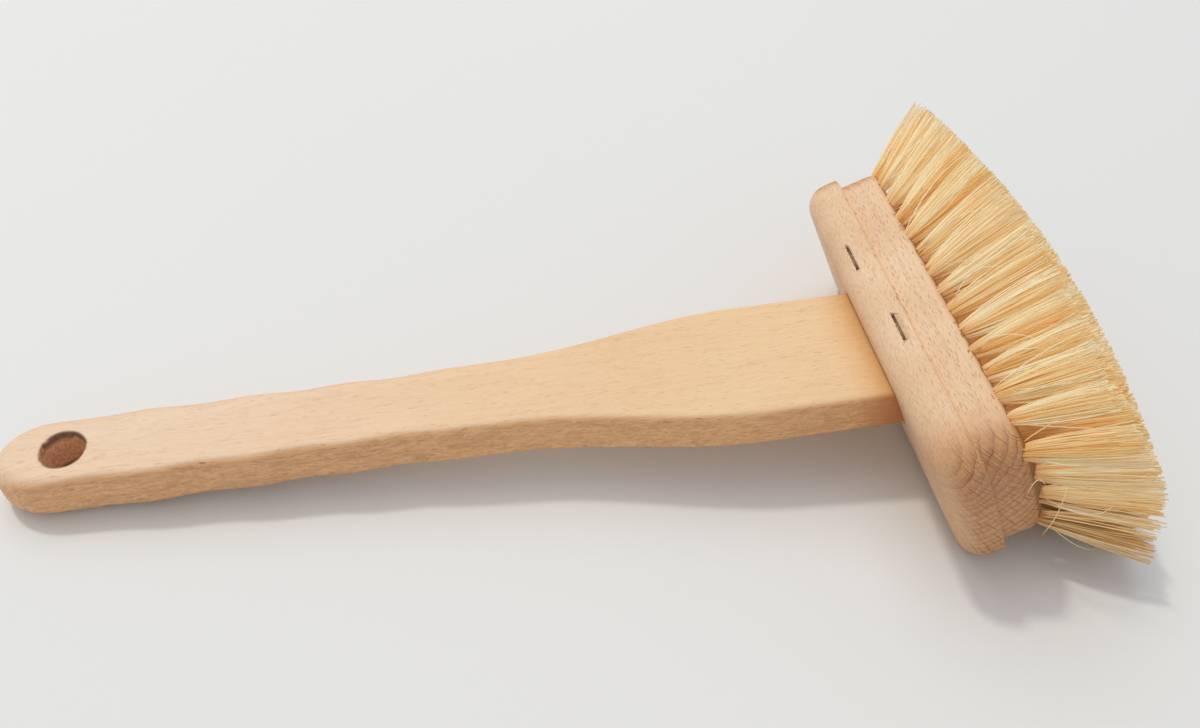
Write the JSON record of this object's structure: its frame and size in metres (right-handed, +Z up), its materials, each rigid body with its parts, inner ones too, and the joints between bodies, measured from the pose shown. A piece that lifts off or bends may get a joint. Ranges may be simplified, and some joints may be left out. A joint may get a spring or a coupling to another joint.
{
  "type": "bathtub brush",
  "caption": "Long-handled scrubbing brush: a waved wooden handle with a hanging hole, set into a wide wooden head of fanned natural-fibre tufts, for reaching and scouring a bathtub.",
  "frame": {"origin": "on the floor, at the middle of the underside of the lying brush's bounding box", "axes": "+X from the handle's tip towards the bristles, +Y along the head's length to its far end, +Z up"},
  "size_m": [0.4178, 0.194, 0.0991],
  "materials": {
    "handle_wood": "pale beech, sanded smooth, unvarnished",
    "head_wood": "pinkish beech with short dark flecks, sanded, unvarnished",
    "bristle_fibre": "straw-coloured plant fibre, stiff and slightly shiny",
    "staple_steel": "dulled steel wire with a golden tinge"
  },
  "bodies": {
    "root": {"handle": "handle_wood", "head_block": "head_wood", "staple_far": "staple_steel", "staple_near": "staple_steel", "tuft_column_01": "bristle_fibre", "tuft_column_02": "bristle_fibre", "tuft_column_03": "bristle_fibre", "tuft_column_04": "bristle_fibre", "tuft_column_05": "bristle_fibre", "tuft_column_06": "bristle_fibre", "tuft_column_07": "bristle_fibre", "tuft_column_08": "bristle_fibre", "tuft_column_09": "bristle_fibre", "tuft_column_10": "bristle_fibre", "tuft_column_11": "bristle_fibre", "tuft_column_12": "bristle_fibre", "tuft_column_13": "bristle_fibre", "tuft_column_14": "bristle_fibre", "tuft_column_15": "bristle_fibre"}
  },
  "joints": []
}
